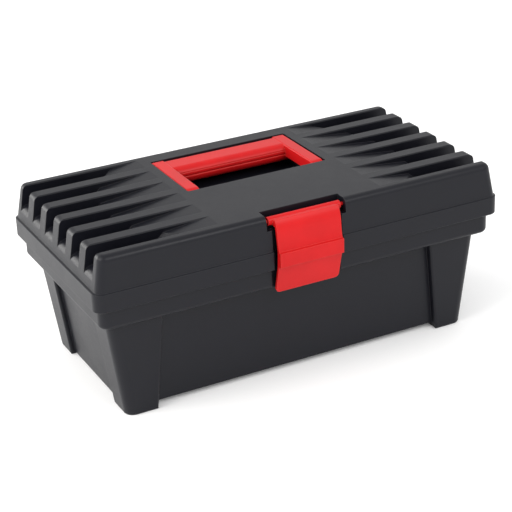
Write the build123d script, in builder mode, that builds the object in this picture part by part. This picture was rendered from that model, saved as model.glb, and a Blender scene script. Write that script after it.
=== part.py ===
from build123d import *
import os
from math import radians, tan

# Portable toolbox: a bin on four corner feet, a hinged lid with open slots in
# its ends, a folding carry handle, a front latch and a lift-out tray.
# X runs along the box, the latch faces -Y, and the feet stand on Z = 0.

# ---- Overall sizes (mm) ----
band_length = 312.0          # the lid's band is the widest ring of the box
band_width = 156.0
overall_height = 127.0
reach = 5.0                  # latch face and hinge backs beyond the band's long sides

# ---- Walls and clearances ----
wall = 2.2                   # moulded wall of the bin and the tray
lid_wall = 2.3               # moulded wall of the lid
running_gap = 0.3            # between moving pieces that face each other
pin_clearance = 0.05         # radial, a pin in its bore
fixed_pin_clearance = 0.02   # radial, a pin held in its bore
beyond = 10.0                # how far a cutter passes the face that it opens
sink = 1.0                   # how far a joined block reaches into the one that carries it

# ---- Bin ----
rim_height = 100.0           # top of the bin's rim
foot_set_in = 21.0           # foot inside the band, at the ends
foot_side_set_in = 13.6      # foot inside the band, at the long sides
end_lean = 7.6               # degrees that the end walls lean out
side_lean = 1.5              # degrees that the long walls lean out
bin_corner = 7.2
panel_depth = 5.0            # recessed front and back panels between the corner pillars
end_panel_depth = 3.4
foot_length = 23.0           # along X, at the ground
foot_width = 24.4            # along Y, at the ground
side_pillar_flare = 0.10     # how fast a pillar widens along X, per mm of height
end_pillar_flare = 0.03      # and along Y
belly_clearance = 4.0        # under the bin's floor
end_clearance = 1.8          # under the end panels, between the feet
collar_bottom = 72.8
collar_set_in = 4.4          # collar inside the band
collar_round = 3.5
pillar_round = 1.6
sole_round = 1.5
lip_height = 3.0             # out-turned lip round the rim
lip_gap = 1.1                # lip to the inside of the band

# ---- Lid ----
band_drop = 11.5             # band below the rim
band_rise = 1.6              # band above the rim
band_corner = 7.2
band_bevel = 0.5
shoulder_rise = 0.6
shoulder_end_set_in = 1.8
shoulder_side_set_in = 1.1
crown_end_set_in = 6.2       # lid top inside the band
crown_side_set_in = 2.8
crown_corner = 5.4
crown_round = 4.5

# ---- Slots in the lid's ends ----
slots_per_end = 6
slot_pitch = 23.9
slot_width = 14.2
slot_depth = 14.0
slot_round = 7.5             # floor turning down into the end face
slot_bevel = 0.6             # along the ribs' top edges
ramp_margin = 7.0            # from the handle's recess to where the ramps start
ramp_angle = 6.0
ramp_skin = 1.4              # thickness of the lid under the ramps, in walls
hub_offset = 12.3            # centre of the round end of the ramps
hub_end_margin = 48.8        # from that round end, at the lid's top, to the lid's end

# ---- Handle ----
recess_length = 110.0        # along X
recess_front = -5.5
recess_back = 59.2
recess_depth = 19.0
recess_corner = 1.5
handle_gap = 0.8             # handle to the recess, at the ends and the back
arm_width = 9.5
arm_thickness = 8.7
arm_below_top = 0.3
arm_edge = 1.0
handle_pivot_y = 0.2
handle_pivot_drop = 5.5      # pivot below the lid's top
arm_nose = 5.2               # radius of the arm round its pivot
handle_pin_radius = 2.0
grip_width = 21.0
grip_height = 13.5
grip_round = 6.0             # along its front
grip_back_round = 3.0
grip_back_step = 0.2
grip_top_step = 0.2
groove_width = 1.2           # the two fine grooves along the grip's front
groove_depth = 0.5
groove_step = 3.0

# ---- Latch ----
latch_half_width = 24.5
latch_axis_set_in = 7.5      # barrel axis inside the band's long side
latch_axis_drop = 5.0        # and below the lid's top
latch_barrel_radius = 3.0
barrel_overhang = 3.3        # barrel past the plate, each end
latch_pin_radius = 1.2
latch_skin = 2.3
notch_end_gap = 2.6          # barrel to the notch's side walls
notch_back_gap = 3.4         # barrel to the notch's back wall
notch_depth = 10.0
channel_side_gap = 2.3
channel_depth = 6.0          # channel floor inside the band's long side
bay_depth = 2.0              # flat bay in the collar, behind the latch
bay_gap = 0.9                # latch tip to the bay
tip_skin = 1.9               # latch wall at its tip
tip_drop = 3.0               # latch tip below the collar
tip_corner = 3.0
plate_top_step = (5.2, 2.1)      # plate's top edge: in front of the axis, and above it
plate_bulge_step = (7.6, 2.4)    # its bulge: in front of the axis, and below it
plate_waist_step = (8.9, 9.5)
plate_foot_set_in = 2.0          # foot of the plate inside the pad's face
pad_rise = 0.1                   # pad's top edge above the band
pad_edge = 0.5                   # height of the pad's top edge
pad_lean = 0.2                   # how far the pad's face leans back
pad_low_rise = 2.8               # pad's lower edge above the band's bottom
pad_step = 3.0                   # pad's lower edge stands this far out of the lip
pad_step_height = 0.6
pad_back_drop = 0.4

# ---- Hinges ----
hinge_spacing = 190.0
knuckle_radius = 3.8
hinge_pin_radius = 1.5
hinge_pin_bevel = 0.3
lid_knuckle = 16.0
bin_knuckle = 10.0
knuckle_gap = 0.4
hinge_drop = 0.5             # knuckle below the band

# ---- Tray ----
tray_side_gap = 1.0          # tray rim inside the collar
tray_bin_gap = 1.2           # tray tub inside the bin's panels
tray_floor = 46.0
tray_rim_height = 2.5
tray_lean = 1.0
tray_corner = 6.0
divider = 2.0
divider_drop = 3.0
cross_divider_x = 48.0
web_half_length = 62.0
web_thickness = 3.0
web_gap = 4.7                # web to the underside of the handle's recess
web_round = 12.0
grip_hole_length = 72.0
grip_hole_height = 15.0
grip_hole_rail = 5.0

# ---- Worked out from the sizes above ----
band_half = band_length / 2
band_half_y = band_width / 2
overall_reach = band_half_y + reach
band_bottom = rim_height - band_drop
band_top = rim_height + band_rise
seat = rim_height + running_gap
shoulder_top = band_top + shoulder_rise
ledge = collar_bottom + wall
collar = (band_length - 2 * collar_set_in, band_width - 2 * collar_set_in)
collar_inside = (collar[0] - 2 * wall, collar[1] - 2 * wall)
collar_face = collar[1] / 2
crown = (band_length - 2 * crown_end_set_in, band_width - 2 * crown_side_set_in)
crown_foot = (band_length - 2 * shoulder_end_set_in, band_width - 2 * shoulder_side_set_in)
crown_height = overall_height - shoulder_top
hinge_y = overall_reach - knuckle_radius
hinge_z = band_bottom - hinge_drop - knuckle_radius
ramp_start = recess_length / 2 + ramp_margin
latch_barrel_half = latch_half_width + barrel_overhang
notch_half_width = latch_barrel_half + notch_end_gap
web_top = overall_height - recess_depth - lid_wall - web_gap
latch_y = latch_axis_set_in - band_half_y
latch_z = overall_height - latch_axis_drop
channel_face = channel_depth - band_half_y
channel_half_width = latch_half_width + channel_side_gap
handle_half = recess_length / 2 - handle_gap
handle_back = recess_back - handle_gap
handle_pivot_z = overall_height - handle_pivot_drop
arm_top = overall_height - arm_below_top


def bin_size(z, inset):
    """Length and width of the bin's outer form at a height, less an inset all round."""
    length = band_length - 2 * foot_set_in + 2 * z * tan(radians(end_lean))
    width = band_width - 2 * foot_side_set_in + 2 * z * tan(radians(side_lean))
    return length - 2 * inset, width - 2 * inset


def crown_size(z, inset):
    """Length and width of the lid's upper form at a height, less an inset all round."""
    share = (z - shoulder_top) / crown_height
    length = crown_foot[0] + share * (crown[0] - crown_foot[0])
    width = crown_foot[1] + share * (crown[1] - crown_foot[1])
    return length - 2 * inset, width - 2 * inset


def tapered_block(low, high, corner_low, corner_high, z_low, z_high):
    """A block with rounded upright corners; low and high are its length and width there."""
    with BuildPart() as block:
        with BuildSketch(Plane.XY.offset(z_low)):
            RectangleRounded(low[0], low[1], corner_low)
        with BuildSketch(Plane.XY.offset(z_high)):
            RectangleRounded(high[0], high[1], corner_high)
        loft()
    return block.part


def box_between(low, high):
    """A plain box from one corner to the opposite one."""
    size = [high[i] - low[i] for i in range(3)]
    centre = [(high[i] + low[i]) / 2 for i in range(3)]
    return Pos(*centre) * Box(*size, mode=Mode.PRIVATE)


def rod(x_low, x_high, y, z, radius):
    """A round bar along X."""
    middle = (x_low + x_high) / 2
    bar = Cylinder(radius, x_high - x_low, mode=Mode.PRIVATE)
    return Pos(middle, y, z) * Rot(0, 90, 0) * bar


def panel_cutter(side, on_end, inset):
    """What a recessed panel takes out of the bin's form; side is -1 or 1."""
    ground = bin_size(0, 0)
    half_x = ground[0] / 2 - foot_length + inset
    half_y = ground[1] / 2 - foot_width + inset
    with BuildPart() as cutter:
        for z in (-sink, ledge + 2 * sink):
            length, width = bin_size(z, inset)
            with BuildSketch(Plane.XY.offset(z)):
                if on_end:
                    with Locations((side * (length / 2 - end_panel_depth + beyond), 0)):
                        Rectangle(2 * beyond, 2 * (half_y - end_pillar_flare * z))
                else:
                    with Locations((0, side * (width / 2 - panel_depth + beyond))):
                        Rectangle(2 * (half_x - side_pillar_flare * z), 2 * beyond)
        loft()
    return cutter.part


def bin_form(inset):
    """The bin's outer form below the collar, with its recessed panels, less an inset."""
    top = ledge + sink
    ground = bin_size(0, 0)
    half_x = ground[0] / 2 - foot_length + inset
    half_y = ground[1] / 2 - foot_width + inset
    under = belly_clearance + inset
    under_ends = end_clearance + inset
    corner = bin_corner - inset
    with BuildPart() as form:
        add(tapered_block(bin_size(inset, inset), bin_size(top, inset), corner, corner, inset, top))
        for side in (-1, 1):
            add(panel_cutter(side, True, inset), mode=Mode.SUBTRACT)
            add(panel_cutter(side, False, inset), mode=Mode.SUBTRACT)
        add(box_between((-half_x, -band_width, -beyond), (half_x, band_width, under)),
            mode=Mode.SUBTRACT)
        add(box_between((-band_length, -half_y, -beyond), (band_length, half_y, under_ends)),
            mode=Mode.SUBTRACT)
    return form.part


def pillar_edges(edges):
    """The outer upright edges of the corner pillars, where the panels begin."""
    ground = bin_size(0, 0)
    found = []
    for edge in edges:
        middle = edge.center()
        length, width = bin_size(middle.Z, 0)
        beside_end = ground[1] / 2 - foot_width - end_pillar_flare * middle.Z
        beside_side = ground[0] / 2 - foot_length - side_pillar_flare * middle.Z
        on_end = abs(abs(middle.X) - length / 2) < 0.2 and abs(abs(middle.Y) - beside_end) < 0.2
        on_side = abs(abs(middle.Y) - width / 2) < 0.2 and abs(abs(middle.X) - beside_side) < 0.2
        if (on_end or on_side) and edge.length > rim_height / 2:
            found.append(edge)
    return found


# ---- Base: bin, collar, rim lip, latch bay and hinge knuckles ----

def knuckle_spans(side):
    """Where the bin's two knuckles and the lid's one stand along X at one hinge."""
    middle = side * hinge_spacing / 2
    inner = lid_knuckle / 2 + knuckle_gap
    outer = inner + bin_knuckle
    lid_span = (middle - lid_knuckle / 2, middle + lid_knuckle / 2)
    return [(middle - outer, middle - inner), (middle + inner, middle + outer)], lid_span


with BuildPart() as collar_block:
    add(tapered_block(collar, collar, bin_corner, bin_corner, collar_bottom, rim_height))
    fillet(collar_block.edges().group_by(Axis.Z)[0], collar_round)

with BuildPart() as bin_block:
    add(bin_form(0))
    fillet(bin_block.edges().group_by(Axis.Z)[0], sole_round)
    fillet(pillar_edges(bin_block.edges()), pillar_round)

collar_space = tapered_block(collar_inside, collar_inside, bin_corner - wall, bin_corner - wall,
                             ledge, rim_height + beyond)
lip_reach = collar_set_in - lid_wall - lip_gap
lip_size = (collar[0] + 2 * lip_reach, collar[1] + 2 * lip_reach)
lip = tapered_block(lip_size, lip_size, bin_corner, bin_corner, rim_height - lip_height, rim_height)
bay_face = bay_depth - collar_face
bay = box_between((-channel_half_width, -band_width, collar_bottom - sink),
                  (channel_half_width, bay_face, rim_height + sink))
bay_wall = box_between((-channel_half_width - wall, bay_face - sink, ledge - sink),
                       (channel_half_width + wall, bay_face + wall, rim_height))

with BuildPart() as base:
    add(bin_block.part)
    add(collar_block.part)
    add(lip)
    for side in (-1, 1):
        for x_low, x_high in knuckle_spans(side)[0]:
            add(rod(x_low, x_high, hinge_y, hinge_z, knuckle_radius))
            add(box_between((x_low, collar_face - sink, hinge_z - knuckle_radius),
                            (x_high, hinge_y, hinge_z + knuckle_radius / 2)))
    add(bin_form(wall), mode=Mode.SUBTRACT)
    add(collar_space, mode=Mode.SUBTRACT)
    add(bay_wall)
    add(bay, mode=Mode.SUBTRACT)
    for side in (-1, 1):
        for x_low, x_high in knuckle_spans(side)[0]:
            add(rod(x_low - sink, x_high + sink, hinge_y, hinge_z,
                    hinge_pin_radius + fixed_pin_clearance), mode=Mode.SUBTRACT)
base.part.label = "base"


# ---- Hinge pins ----

hinge_pins = {}
for name, side in (("hinge_pin_left", -1), ("hinge_pin_right", 1)):
    spans = knuckle_spans(side)[0]
    with BuildPart() as pin:
        add(rod(spans[0][0], spans[1][1], hinge_y, hinge_z, hinge_pin_radius))
        chamfer(pin.edges().filter_by(GeomType.CIRCLE), hinge_pin_bevel)
    pin.part.label = name
    hinge_pins[name] = pin.part


# ---- Lid ----

def ramp_hub(drop):
    """The round-ended ramps that rise from the slots to the lid's flat centre, at the +X end."""
    radius_top = band_half - hub_end_margin - hub_offset
    low = overall_height - slot_depth - beyond
    height = overall_height - low
    slope = tan(radians(ramp_angle))
    far = band_half + beyond
    with BuildPart() as hub:
        with BuildSketch(Plane.XZ):
            with BuildLine():
                Polyline((0, low - drop), (radius_top + height, low - drop),
                         (radius_top, overall_height - drop), (0, overall_height - drop), close=True)
            make_face()
        revolve(axis=Axis.Z)
    with BuildPart() as trim:
        with BuildSketch(Plane.XZ):
            with BuildLine():
                Polyline((ramp_start, overall_height - drop),
                         (far, overall_height - drop - slope * (far - ramp_start)),
                         (far, overall_height + beyond), (-far, overall_height + beyond),
                         (-far, overall_height - drop), close=True)
            make_face()
        extrude(amount=band_width, both=True)
    moved = Pos(hub_offset, 0, 0) * hub.part
    return moved - trim.part


def slot_form(skin):
    """The open slots of the lid's +X end, grown by a skin for what the lid's inside keeps clear."""
    floor = overall_height - slot_depth
    face = crown_size(floor - slot_round, 0)[0] / 2
    centre = (face - slot_round, floor - slot_round)
    arc_radius = slot_round - skin
    far = band_half + beyond
    with BuildPart() as slots:
        with BuildSketch(Plane.XZ):
            with BuildLine():
                Line((ramp_start, overall_height + beyond), (ramp_start, centre[1] + arc_radius))
                Line((ramp_start, centre[1] + arc_radius), (centre[0], centre[1] + arc_radius))
                RadiusArc((centre[0], centre[1] + arc_radius), (centre[0] + arc_radius, centre[1]),
                          arc_radius)
                Line((centre[0] + arc_radius, centre[1]), (far, centre[1]))
                Line((far, centre[1]), (far, overall_height + beyond))
                Line((far, overall_height + beyond), (ramp_start, overall_height + beyond))
            make_face()
        extrude(amount=slot_width / 2 + skin, both=True)
        if skin == 0:
            with BuildSketch(Plane.YZ.offset(ramp_start)):
                with BuildLine():
                    Polyline((-slot_width / 2, overall_height - slot_bevel),
                             (slot_width / 2, overall_height - slot_bevel),
                             (slot_width / 2 + 2 * slot_bevel, overall_height + slot_bevel),
                             (-slot_width / 2 - 2 * slot_bevel, overall_height + slot_bevel),
                             close=True)
                make_face()
            extrude(amount=far - ramp_start)
    return slots.part


def end_slots(skin, drop):
    """All the slots of both ends."""
    first = -(slots_per_end - 1) / 2 * slot_pitch
    one = slot_form(skin)
    row = [Pos(0, first + i * slot_pitch, 0) * one for i in range(slots_per_end)]
    hub = ramp_hub(drop)
    right = [slot - hub for slot in row]
    left = [mirror(slot, about=Plane.YZ, mode=Mode.PRIVATE) for slot in right]
    return right + left


def recess_form(skin):
    """The handle's recess in the lid's top."""
    half = recess_length / 2 + skin
    with BuildPart() as recess:
        with BuildSketch(Plane.XY.offset(overall_height - recess_depth - skin)):
            with Locations((0, (recess_front + recess_back) / 2)):
                RectangleRounded(2 * half, recess_back - recess_front + 2 * skin,
                                 recess_corner + skin)
        extrude(amount=recess_depth + beyond)
    return recess.part


notch_back = latch_y + latch_barrel_radius + notch_back_gap
notch_floor = overall_height - notch_depth
notch = box_between((-notch_half_width, -band_width, notch_floor),
                    (notch_half_width, notch_back, overall_height + beyond))
notch_skin = box_between((-notch_half_width - lid_wall, -band_width, notch_floor - lid_wall),
                         (notch_half_width + lid_wall, notch_back + lid_wall,
                          overall_height + beyond))
channel = box_between((-channel_half_width, -band_width, band_bottom - beyond),
                      (channel_half_width, channel_face, overall_height))
channel_skin = box_between((-channel_half_width - lid_wall, -band_width, seat),
                           (channel_half_width + lid_wall, channel_face + lid_wall,
                            overall_height))

with BuildPart() as crown_block:
    add(tapered_block(crown_foot, crown, crown_corner, crown_corner, shoulder_top, overall_height))
    fillet(crown_block.edges().group_by(Axis.Z)[-1], crown_round)

band_size = (band_length, band_width)
band_inside = (band_length - 2 * lid_wall, band_width - 2 * lid_wall)

with BuildPart() as band_block:
    add(tapered_block(band_size, band_size, band_corner, band_corner, band_bottom, band_top))
    chamfer(band_block.edges().group_by(Axis.Z)[0], band_bevel)

shoulder = tapered_block(band_size, crown_foot, band_corner, crown_corner, band_top, shoulder_top)
band_space = tapered_block(band_inside, band_inside, band_corner - lid_wall, band_corner - lid_wall,
                           band_bottom - beyond, seat)
ceiling = overall_height - lid_wall

with BuildPart() as lid_space:
    add(tapered_block(crown_size(seat, lid_wall), crown_size(ceiling, lid_wall),
                      crown_corner - lid_wall, crown_corner - lid_wall, seat - sink, ceiling))
    for slot in end_slots(lid_wall, ramp_skin * lid_wall):
        add(slot, mode=Mode.SUBTRACT)
    add(recess_form(lid_wall), mode=Mode.SUBTRACT)
    add(notch_skin, mode=Mode.SUBTRACT)
    add(channel_skin, mode=Mode.SUBTRACT)

with BuildPart() as lid:
    add(band_block.part)
    add(shoulder)
    add(crown_block.part)
    for side in (-1, 1):
        x_low, x_high = knuckle_spans(side)[1]
        add(rod(x_low, x_high, hinge_y, hinge_z, knuckle_radius))
        add(box_between((x_low, band_half_y - lid_wall, hinge_z),
                        (x_high, overall_reach - sink, band_bottom + knuckle_radius)))
    add(band_space, mode=Mode.SUBTRACT)
    add(lid_space.part, mode=Mode.SUBTRACT)
    for slot in end_slots(0, 0):
        add(slot, mode=Mode.SUBTRACT)
    add(recess_form(0), mode=Mode.SUBTRACT)
    add(notch, mode=Mode.SUBTRACT)
    add(channel, mode=Mode.SUBTRACT)
    latch_bore = notch_half_width + lid_wall
    add(rod(-latch_bore, latch_bore, latch_y, latch_z, latch_pin_radius + pin_clearance),
        mode=Mode.SUBTRACT)
    handle_bore = recess_length / 2 + lid_wall
    add(rod(-handle_bore, handle_bore, handle_pivot_y, handle_pivot_z,
            handle_pin_radius + pin_clearance), mode=Mode.SUBTRACT)
    for side in (-1, 1):
        x_low, x_high = knuckle_spans(side)[1]
        add(rod(x_low - sink, x_high + sink, hinge_y, hinge_z,
                hinge_pin_radius + pin_clearance), mode=Mode.SUBTRACT)
lid.part.label = "lid"


# ---- Carry handle, lying flat in its recess ----

arm_bottom = arm_top - arm_thickness
grip_top = arm_top - grip_top_step
grip_back = handle_back - grip_back_step
grip_y = grip_back - grip_width / 2
grip_z = grip_top - grip_height / 2

with BuildPart() as handle:
    for side in (-1, 1):
        with BuildSketch(Plane.YZ.offset(side * (handle_half - arm_width / 2))):
            with BuildLine():
                Polyline((handle_pivot_y, arm_bottom), (handle_back, arm_bottom),
                         (handle_back, arm_top), (handle_pivot_y, arm_top), close=True)
            make_face()
            with Locations((handle_pivot_y, handle_pivot_z)):
                Circle(arm_nose)
        extrude(amount=arm_width / 2, both=True)
    fillet(handle.edges().filter_by(lambda edge: abs(edge.center().Z - arm_top) < 0.01), arm_edge)
    with BuildSketch(Plane.YZ) as grip:
        with Locations((grip_y, grip_z)):
            Rectangle(grip_width, grip_height)
        fillet(grip.vertices().group_by(Axis.X)[0], grip_round)
        fillet(grip.vertices().group_by(Axis.X)[-1], grip_back_round)
        with Locations(*[(grip_y - grip_width / 2, grip_z + dz) for dz in (0, groove_step)]):
            Rectangle(2 * groove_depth, groove_width, mode=Mode.SUBTRACT)
    extrude(amount=handle_half - arm_width / 2, both=True)
    pin_end = recess_length / 2 + lid_wall - running_gap
    add(rod(-pin_end, pin_end, handle_pivot_y, handle_pivot_z, handle_pin_radius))
    add(box_between((arm_width - handle_half, -band_width, 0),
                    (handle_half - arm_width, handle_pivot_y + arm_nose + sink, overall_height)),
        mode=Mode.SUBTRACT)
handle.part.label = "handle"


# ---- Front latch ----

face_y = -overall_reach
plate_top = (latch_y - plate_top_step[0], latch_z + plate_top_step[1])
plate_bulge = (latch_y - plate_bulge_step[0], latch_z - plate_bulge_step[1])
plate_waist = (latch_y - plate_waist_step[0], latch_z - plate_waist_step[1])
pad_top = (face_y, band_top + pad_rise)
plate_foot = (face_y + plate_foot_set_in, pad_top[1] + pad_edge)
pad_low = (face_y + pad_lean, band_bottom + pad_low_rise)
lip_top = (face_y + pad_step, pad_low[1] - pad_step_height)
lip_low = (bay_face - bay_gap - tip_skin, collar_bottom - tip_drop)
lip_back = (lip_low[0] + tip_skin, lip_low[1] + pad_edge)
pad_back = (pad_top[0] + plate_foot_set_in + latch_skin, pad_top[1] - pad_back_drop)
barrel_bottom = latch_z - latch_barrel_radius

with BuildPart() as latch:
    with BuildSketch(Plane.YZ):
        with BuildLine():
            Spline(plate_top, plate_bulge, plate_waist, plate_foot)
            Polyline(plate_foot, pad_top, pad_low, lip_top, lip_low, lip_back,
                     (lip_top[0] + latch_skin, lip_top[1]), pad_back,
                     (plate_waist[0] + latch_skin, plate_waist[1]),
                     (plate_bulge[0] + latch_skin, barrel_bottom),
                     (latch_y, barrel_bottom), (latch_y, plate_top[1]), plate_top)
        make_face()
    extrude(amount=latch_half_width, both=True)
    tip_edges = latch.edges().filter_by(lambda edge: lip_low[1] < edge.center().Z < lip_back[1])
    fillet(tip_edges, tip_corner)
    add(rod(-latch_barrel_half, latch_barrel_half, latch_y, latch_z, latch_barrel_radius))
    latch_pin = notch_half_width + lid_wall - running_gap
    add(rod(-latch_pin, latch_pin, latch_y, latch_z, latch_pin_radius))
latch.part.label = "latch"


# ---- Lift-out tray ----

def tray_size(z, inset):
    """Length and width of the tray's tub at a height: inside the bin's panels, less an inset."""
    length, width = bin_size(ledge, wall + panel_depth + tray_bin_gap)
    low_length, low_width = bin_size(tray_floor, wall + panel_depth + tray_bin_gap)
    share = (z - tray_floor) / (ledge - tray_floor)
    lean = (1 - share) * tray_lean
    return (low_length + share * (length - low_length) - 2 * (lean + inset),
            low_width + share * (width - low_width) - 2 * (lean + inset))


tray_low = ledge + running_gap
tray_top = tray_low + tray_rim_height
tray_rim = (collar_inside[0] - 2 * tray_side_gap, collar_inside[1] - 2 * tray_side_gap)
tray_inside_floor = tray_floor + wall
divider_top = tray_top - divider_drop
bay_clear = bay_face + wall + tray_side_gap
bay_clear_half = channel_half_width + wall + tray_side_gap

with BuildPart() as web:
    with BuildSketch(Plane.XZ):
        with Locations((0, (tray_inside_floor + web_top) / 2)):
            RectangleRounded(2 * web_half_length, web_top - tray_inside_floor, web_round)
        with Locations((0, tray_inside_floor + web_round)):
            Rectangle(2 * web_half_length, 2 * web_round)
        with Locations((0, web_top - grip_hole_rail - grip_hole_height / 2)):
            SlotOverall(grip_hole_length, grip_hole_height, mode=Mode.SUBTRACT)
    extrude(amount=web_thickness / 2, both=True)

with BuildPart() as tray:
    add(tapered_block(tray_size(tray_floor, 0), tray_size(tray_top, 0),
                      tray_corner, tray_corner, tray_floor, tray_top))
    add(tapered_block(tray_rim, tray_rim, tray_corner, tray_corner, tray_low, tray_top))
    add(tapered_block(tray_size(tray_inside_floor, wall), tray_size(tray_top + sink, wall),
                      tray_corner - wall, tray_corner - wall, tray_inside_floor, tray_top + sink),
        mode=Mode.SUBTRACT)
    inside_length, inside_width = tray_size(tray_floor, wall / 2)
    add(box_between((-inside_length / 2, -divider / 2, tray_floor),
                    (inside_length / 2, divider / 2, divider_top)))
    for x in (-cross_divider_x, cross_divider_x):
        add(box_between((x - divider / 2, -inside_width / 2, tray_floor),
                        (x + divider / 2, inside_width / 2, divider_top)))
    add(web.part)
    add(box_between((-bay_clear_half, -band_width, tray_floor), (bay_clear_half, bay_clear, web_top)),
        mode=Mode.SUBTRACT)
tray.part.label = "tray"


os.makedirs("parts", exist_ok=True)
pieces = {"base": base.part, "lid": lid.part, "handle": handle.part, "latch": latch.part,
          "tray": tray.part, **hinge_pins}
for name, piece in pieces.items():
    export_step(piece, "parts/" + name + ".step")
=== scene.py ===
import bpy
from math import cos, radians, sin
from mathutils import Matrix, Vector

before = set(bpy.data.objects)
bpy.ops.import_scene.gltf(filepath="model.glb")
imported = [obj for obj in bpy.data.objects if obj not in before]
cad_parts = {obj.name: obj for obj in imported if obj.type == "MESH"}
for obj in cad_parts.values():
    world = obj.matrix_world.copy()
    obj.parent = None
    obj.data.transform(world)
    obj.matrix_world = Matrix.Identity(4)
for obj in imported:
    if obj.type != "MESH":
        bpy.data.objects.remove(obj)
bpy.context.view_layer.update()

MM = 0.001


# ---------------------------------------------------------------- shader maths

class Signal:
    """An output socket that can be added, multiplied and so on."""

    def __init__(self, finish, socket):
        self.finish = finish
        self.socket = socket

    def maths(self, operation, first, second):
        return self.finish.node("ShaderNodeMath", {"operation": operation}, {0: first, 1: second})

    def __add__(self, other):
        return self.maths("ADD", self, other)

    __radd__ = __add__

    def __sub__(self, other):
        return self.maths("SUBTRACT", self, other)

    def __rsub__(self, other):
        return self.maths("SUBTRACT", other, self)

    def __mul__(self, other):
        return self.maths("MULTIPLY", self, other)

    __rmul__ = __mul__


class Finish:
    """A material in the making, with its shader and one way to add any node."""

    def __init__(self, name, **constants):
        self.material = bpy.data.materials.new(name)
        self.material.use_nodes = True
        self.tree = self.material.node_tree
        self.shader = self.tree.nodes["Principled BSDF"]
        for socket, value in constants.items():
            self.shader.inputs[socket.replace("_", " ")].default_value = value

    def node(self, kind, settings=None, inputs=None, output=0):
        made = self.tree.nodes.new(kind)
        for key, value in (settings or {}).items():
            setattr(made, key, value)
        for key, value in (inputs or {}).items():
            self.feed(made.inputs[key], value)
        return Signal(self, made.outputs[output])

    def feed(self, socket, value):
        if isinstance(value, Signal):
            self.tree.links.new(value.socket, socket)
        else:
            socket.default_value = value

    def place(self):
        return self.node("ShaderNodeTexCoord", output="Object")

    def noise(self, scale, detail=2.0, roughness=0.5):
        """Smooth noise about 0.5; scale is in lumps per metre."""
        return self.node("ShaderNodeTexNoise", {}, {
            "Vector": self.place(), "Scale": scale, "Detail": detail, "Roughness": roughness})

    def mix(self, share, first, second):
        """A colour between two others."""
        return self.node("ShaderNodeMix", {"data_type": "RGBA"},
                         {"Factor": share, "A": first, "B": second}, output="Result")

    def rounded_edges(self, radius):
        """The surface's own direction, turned a little where it meets a sharp edge."""
        return self.node("ShaderNodeBevel", {"samples": 6}, {"Radius": radius})

    def edge_share(self, rounded, spread):
        """Nearly 0 on flat faces, and more where the rounded direction turns away."""
        flat = self.node("ShaderNodeNewGeometry", output="Normal")
        along = self.node("ShaderNodeVectorMath", {"operation": "DOT_PRODUCT"},
                          {0: rounded, 1: flat}, output="Value")
        return self.node("ShaderNodeMath", {"operation": "MULTIPLY", "use_clamp": True},
                         {0: 1 - along, 1: spread})

    def bump(self, height, strength, depth, under):
        return self.node("ShaderNodeBump", {}, {
            "Strength": strength, "Distance": depth, "Height": height, "Normal": under})

    def set(self, socket, value):
        self.feed(self.shader.inputs[socket], value)


# ---------------------------------------------------------------- finishes

EDGE_RADIUS = 0.6 * MM       # how far the shader rounds a moulded edge
EDGE_HIGHLIGHT_SPREAD = 3.2        # how quickly the painted highlight on an edge grows with its roundness
MOTTLE = 1.45                # how much paler the flow marks are than the body
FLOW_MARKS = 34.0            # lumps per metre: slow marks where the plastic flowed
FINE_RUBS = 240.0            # and the rubs of handling
MOULD_GRAIN = 2300.0         # and the grain of a spark-eroded mould
SMOOTH_GRAIN = 2600.0
TRAY_GRAIN = 1700.0
PAPER_FIBRE = 900.0
WIRE_LINES = (60.0, 9000.0, 9000.0)      # lines drawn out along the wire
POLYPROPYLENE_IOR = 1.49


def moulded_plastic(name, colour, edge_highlight_colour, roughness, grain, grain_depth, specular):
    """Moulded polypropylene: spark-eroded grain, flow mottling, fine rubs, softened edges and a painted
    highlight along the edges.
    """
    finish = Finish(name, IOR=POLYPROPYLENE_IOR, Specular_IOR_Level=specular)
    mottle = finish.noise(FLOW_MARKS, 4.0, 0.6)
    rubs = finish.noise(FINE_RUBS, 6.0, 0.72)
    spark_grain = finish.noise(grain, 3.0, 0.75)
    rounded = finish.rounded_edges(EDGE_RADIUS)
    # Painted highlight: edges turn towards a paler colour where the shader rounds them, broken up by
    # the rub noise.
    painted_edge_highlight = finish.edge_share(rounded, EDGE_HIGHLIGHT_SPREAD) * rubs
    flow_colour = tuple(MOTTLE * part for part in colour[:3]) + (1,)
    finish.set("Base Color", finish.mix(painted_edge_highlight, finish.mix(mottle, colour, flow_colour), edge_highlight_colour))
    flow_sheen = 0.12 * (mottle - 0.5)
    rubbed_sheen = 0.10 * (rubs - 0.5)
    finish.set("Roughness", roughness + flow_sheen + rubbed_sheen + 0.05 * spark_grain)
    finish.set("Normal", finish.bump(spark_grain, 0.6, grain_depth, rounded))
    return finish.material


def drawn_steel(name):
    """Steel wire with fine lines along its length."""
    finish = Finish(name, Metallic=1.0)
    stretched = finish.node("ShaderNodeMapping", {}, {"Vector": finish.place(), "Scale": WIRE_LINES})
    lines = finish.node("ShaderNodeTexNoise", {}, {"Vector": stretched, "Scale": 1.0, "Detail": 2.0})
    finish.set("Base Color", finish.mix(lines, (0.50, 0.50, 0.51, 1), (0.66, 0.66, 0.67, 1)))
    finish.set("Roughness", 0.22 + 0.18 * lines)
    return finish.material


def studio_paper(name):
    """Matt white paper that glows a little, as a lit sweep does."""
    finish = Finish(name, Roughness=0.9, Specular_IOR_Level=0.1,
                    Emission_Color=(1, 1, 1, 1), Emission_Strength=0.10)
    fibre = finish.noise(PAPER_FIBRE, 2.0)
    finish.set("Base Color", finish.mix(fibre, (0.90, 0.90, 0.90, 1), (0.93, 0.93, 0.93, 1)))
    return finish.material


# The second colour of each plastic is the paler tone of its painted edge highlight.
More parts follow.
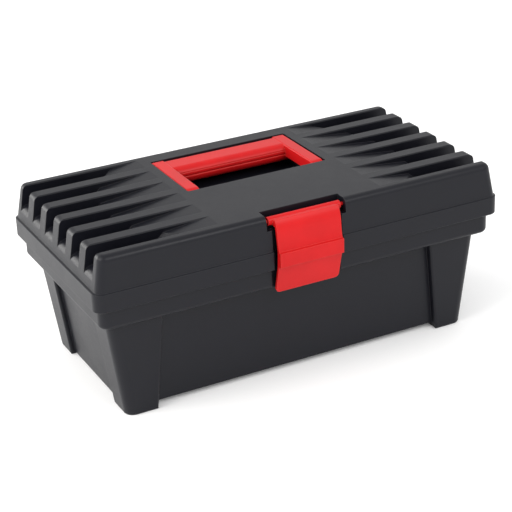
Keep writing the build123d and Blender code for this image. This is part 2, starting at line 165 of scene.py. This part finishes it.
black = moulded_plastic("black_polypropylene", colour=(0.0048, 0.0050, 0.0078, 1),
                        edge_highlight_colour=(0.060, 0.061, 0.066, 1), roughness=0.36,
                        grain=MOULD_GRAIN, grain_depth=0.06 * MM, specular=0.245)
tray_black = moulded_plastic("tray_polypropylene", colour=(0.012, 0.012, 0.013, 1),
                             edge_highlight_colour=(0.045, 0.045, 0.047, 1), roughness=0.46,
                             grain=TRAY_GRAIN, grain_depth=0.05 * MM, specular=0.35)
red = moulded_plastic("red_polypropylene", colour=(0.42, 0.0058, 0.0068, 1),
                      edge_highlight_colour=(0.72, 0.140, 0.110, 1), roughness=0.31,
                      grain=SMOOTH_GRAIN, grain_depth=0.02 * MM, specular=0.19)
steel = drawn_steel("hinge_pin_steel")

finishes = {"base": black, "lid": black, "tray": tray_black, "handle": red, "latch": red,
            "hinge_pin_left": steel, "hinge_pin_right": steel}
for node_name, material in finishes.items():
    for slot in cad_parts[node_name].material_slots:
        slot.material = material


# ---------------------------------------------------------------- camera

def aim_camera():
    """The camera stands front left of the box and a little above it."""
    azimuth, elevation, roll = radians(-26.5), radians(24.89), radians(-2.3)
    distance = 1.143
    target = Vector((-4.4, -5.6, 65.2)) * MM
    back = Vector((sin(azimuth) * cos(elevation), -cos(azimuth) * cos(elevation), sin(elevation)))
    right = Vector((cos(azimuth), sin(azimuth), 0.0))
    up = back.cross(right)
    tilted_right = right * cos(roll) + up * sin(roll)
    tilted_up = up * cos(roll) - right * sin(roll)
    data = bpy.data.cameras.new("camera")
    data.sensor_width = 36.0
    data.lens = 111.3
    data.clip_start = 0.05
    data.clip_end = 50.0
    camera = bpy.data.objects.new("camera", data)
    bpy.context.scene.collection.objects.link(camera)
    turn = Matrix((tilted_right, tilted_up, back)).transposed().to_4x4()
    camera.matrix_world = Matrix.Translation(target + back * distance) @ turn
    bpy.context.scene.camera = camera


# ---------------------------------------------------------------- studio

WARM = (1.0, 0.985, 0.96)
WHITE = (1.0, 1.0, 1.0)
FLOOR_REACH = 4.0


def softbox(name, place, aim, width, height, power, colour=WHITE):
    """A soft rectangular lamp that points from its place at its aim."""
    light = bpy.data.lights.new(name, "AREA")
    light.shape = "RECTANGLE"
    light.size = width
    light.size_y = height
    light.energy = power
    light.color = colour
    holder = bpy.data.objects.new(name, light)
    bpy.context.scene.collection.objects.link(holder)
    direction = Vector(aim) - Vector(place)
    turn = direction.to_track_quat("-Z", "Y").to_matrix().to_4x4()
    holder.matrix_world = Matrix.Translation(Vector(place)) @ turn


def studio_floor():
    mesh = bpy.data.meshes.new("studio_floor")
    corners = [(x * FLOOR_REACH, y * FLOOR_REACH, 0) for x, y in ((-1, -1), (1, -1), (1, 1), (-1, 1))]
    mesh.from_pydata(corners, [], [(0, 1, 2, 3)])
    floor = bpy.data.objects.new("studio_floor", mesh)
    bpy.context.scene.collection.objects.link(floor)
    mesh.materials.append(studio_paper("pale_paper"))


def white_studio():
    """A white room of even light, with a key lamp and two smaller ones."""
    scene = bpy.context.scene
    scene.view_settings.view_transform = "Standard"
    scene.view_settings.look = "None"
    world = bpy.data.worlds.new("studio_air")
    scene.world = world
    world.use_nodes = True
    air = world.node_tree.nodes["Background"]
    air.inputs["Color"].default_value = WHITE + (1,)
    air.inputs["Strength"].default_value = 1.0
    studio_floor()
    softbox("key_softbox", (-1.25, -0.15, 0.95), (0, 0, 0.06), 0.9, 0.9, 13.0, WARM)
    softbox("edge_softbox", (0.35, -1.05, 0.95), (0, 0, 0.08), 0.6, 0.35, 5.0)
    softbox("left_back_softbox", (-0.95, 1.00, 0.40), (-0.1, 0, 0.05), 0.8, 0.6, 10.0, WARM)


aim_camera()
white_studio()
